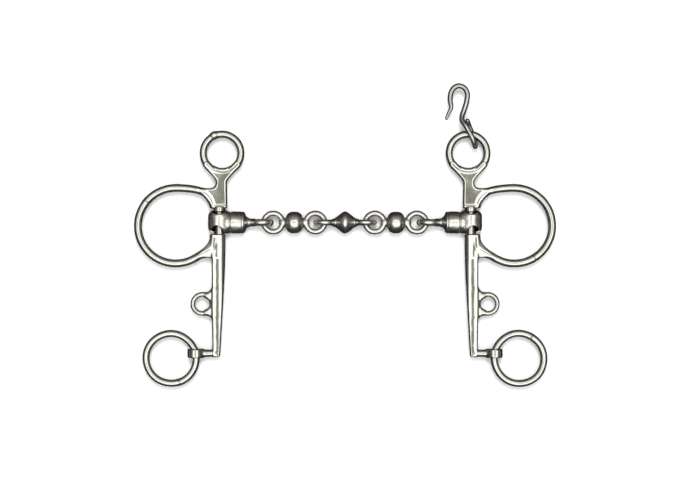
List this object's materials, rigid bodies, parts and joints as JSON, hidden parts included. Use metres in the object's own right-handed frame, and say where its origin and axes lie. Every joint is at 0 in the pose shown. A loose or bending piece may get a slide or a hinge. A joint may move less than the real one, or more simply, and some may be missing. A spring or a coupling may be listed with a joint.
{
  "type": "curb bit",
  "caption": "Pelham curb bit: two long-shanked cheeks with bradoon rings swivel on a ball-chain mouthpiece, with loose curb rein rings and an open curb hook.",
  "frame": {"origin": "the middle of the mouthpiece, on its centre line", "axes": "+X along the mouthpiece to the side with the curb hook, +Y up the cheeks to the headstall rings, +Z out of the cheeks' plane"},
  "size_m": [0.2484, 0.1787, 0.0138],
  "materials": {
    "cast_steel": "cast stainless steel, hand polished to a soft mirror",
    "steel_wire": "drawn stainless wire, polished",
    "turned_steel": "turned stainless, fine tool marks"
  },
  "bodies": {
    "middle_link": {"middle_link": "cast_steel"},
    "right_ball_link": {"right_ball_link": "cast_steel"},
    "right_mouth_end": {"right_mouth_end": "cast_steel"},
    "right_cheek": {"right_cheek": "cast_steel", "right_pivot_pin": "turned_steel"},
    "right_curb_ring": {"right_curb_ring": "steel_wire"},
    "left_ball_link": {"left_ball_link": "cast_steel"},
    "left_mouth_end": {"left_mouth_end": "cast_steel"},
    "left_cheek": {"left_cheek": "cast_steel", "left_pivot_pin": "turned_steel"},
    "left_curb_ring": {"left_curb_ring": "steel_wire"},
    "curb_hook": {"curb_hook": "steel_wire"}
  },
  "joints": [
    {"name": "right_ball_link_swing", "type": "hinge", "parent": "middle_link", "child": "right_ball_link", "pos_m": [0.0172, 0, 0], "axis": [0, 0, 1], "range_deg": [-70, 70]},
    {"name": "right_mouth_end_swing", "type": "hinge", "parent": "right_ball_link", "child": "right_mouth_end", "pos_m": [0.04775, 0, 0], "axis": [0, 1, 0], "range_deg": [-60, 60]},
    {"name": "right_cheek_swivel", "type": "hinge", "parent": "right_mouth_end", "child": "right_cheek", "pos_m": [0.0739, 0, 0], "axis": [0, -1, 0], "range_deg": [-150, 150]},
    {"name": "right_curb_ring_swing", "type": "hinge", "parent": "right_cheek", "child": "right_curb_ring", "pos_m": [0.08801, -0.077, 0], "axis": [0.2041, 0.979, 0], "range_deg": [-150, 150]},
    {"name": "left_ball_link_swing", "type": "hinge", "parent": "middle_link", "child": "left_ball_link", "pos_m": [-0.0172, 0, 0], "axis": [0, 0, 1], "range_deg": [-70, 70]},
    {"name": "left_mouth_end_swing", "type": "hinge", "parent": "left_ball_link", "child": "left_mouth_end", "pos_m": [-0.04775, 0, 0], "axis": [0, -1, 0], "range_deg": [-60, 60]},
    {"name": "left_cheek_swivel", "type": "hinge", "parent": "left_mouth_end", "child": "left_cheek", "pos_m": [-0.0739, 0, 0], "axis": [0, 1, 0], "range_deg": [-150, 150]},
    {"name": "left_curb_ring_swing", "type": "hinge", "parent": "left_cheek", "child": "left_curb_ring", "pos_m": [-0.08801, -0.077, 0], "axis": [0.2041, -0.979, 0], "range_deg": [-150, 150]},
    {"name": "curb_hook_swing", "type": "hinge", "parent": "right_cheek", "child": "curb_hook", "pos_m": [0.07414, 0.05186, 0], "axis": [0.9877, -0.1564, 0], "range_deg": [-140, 140]}
  ]
}
